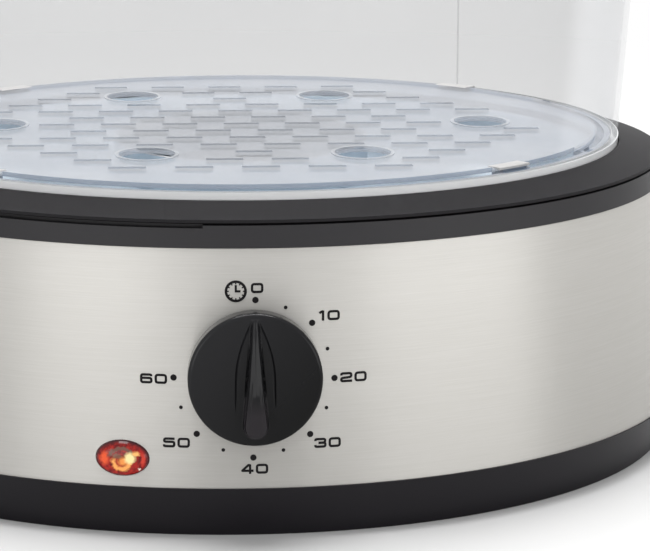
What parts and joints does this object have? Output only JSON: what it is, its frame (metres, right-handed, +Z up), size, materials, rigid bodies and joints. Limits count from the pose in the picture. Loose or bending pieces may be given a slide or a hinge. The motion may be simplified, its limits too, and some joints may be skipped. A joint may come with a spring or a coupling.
{
  "type": "egg cooker",
  "caption": "Oval electric steamer with egg seats: timer base, drip tray, clear basket with lift-out slotted floor, and clear lid.",
  "frame": {"origin": "middle of the base on the plane it rests on, below the centre of the oval plan", "axes": "+X to the right seen from the front, -Y to the front with the timer dial, +Z up"},
  "size_m": [0.322, 0.2629, 0.2496],
  "materials": {
    "foot_plastic": "satin",
    "rim_plastic": "satin",
    "foot_rubber": "matte",
    "screw_steel": "plain",
    "band_steel": "horizontal brushing",
    "plate_steel": "plain",
    "element_metal": "plain",
    "seal_rubber": "matte",
    "plated_steel": "plain",
    "ceramic": "matte",
    "case_plastic": "matte",
    "contact_brass": "plain",
    "knob_plastic": "gloss",
    "lens_plastic": "translucent",
    "neon_glass": "glowing",
    "tray_plastic": "translucent",
    "clear_plastic": "clear",
    "frosted_plastic": "frosted clear"
  },
  "bodies": {
    "base": {"base_shell": "foot_plastic", "rubber_feet": "foot_rubber", "base_screws": "screw_steel", "steel_band": "band_steel", "water_tank": "rim_plastic", "heater_plate": "plate_steel", "heater_element": "element_metal", "heater_seal": "seal_rubber", "heater_clamp": "plated_steel", "heater_nuts": "screw_steel", "thermostat": "ceramic", "thermal_fuse": "ceramic", "timer_screws": "screw_steel", "timer_case": "case_plastic", "timer_cover": "plated_steel", "timer_bell": "plated_steel", "timer_contacts": "contact_brass", "lamp_lens": "lens_plastic", "lamp_holder": "case_plastic", "neon_bulb": "neon_glass", "cord_gland": "foot_rubber", "terminal_block": "ceramic"},
    "knob": {"timer_knob": "knob_plastic", "timer_shaft": "plated_steel", "timer_cam": "case_plastic"},
    "tray": {"tray_ring": "rim_plastic", "drip_tray": "tray_plastic"},
    "basket": {"basket_wall": "clear_plastic"},
    "floor": {"basket_floor": "frosted_plastic"},
    "lid": {"lid_dome": "clear_plastic", "lid_handle": "foot_plastic", "lid_screws": "screw_steel"}
  },
  "joints": [
    {"name": "timer_turn", "type": "hinge", "parent": "base", "child": "knob", "pos_m": [0, -0.12016, 0.0545], "axis": [0, 0.9962, -0.0874], "range_deg": [0, 270]},
    {"name": "tray_lift", "type": "slide", "parent": "base", "child": "tray", "axis": [0, 0, 1], "range_m": [0, 0.15]},
    {"name": "basket_lift", "type": "slide", "parent": "tray", "child": "basket", "axis": [0, 0, 1], "range_m": [0, 0.2]},
    {"name": "floor_lift", "type": "slide", "parent": "basket", "child": "floor", "axis": [0, 0, 1], "range_m": [0, 0.07]},
    {"name": "lid_lift", "type": "slide", "parent": "basket", "child": "lid", "axis": [0, 0, 1], "range_m": [0, 0.18]}
  ]
}
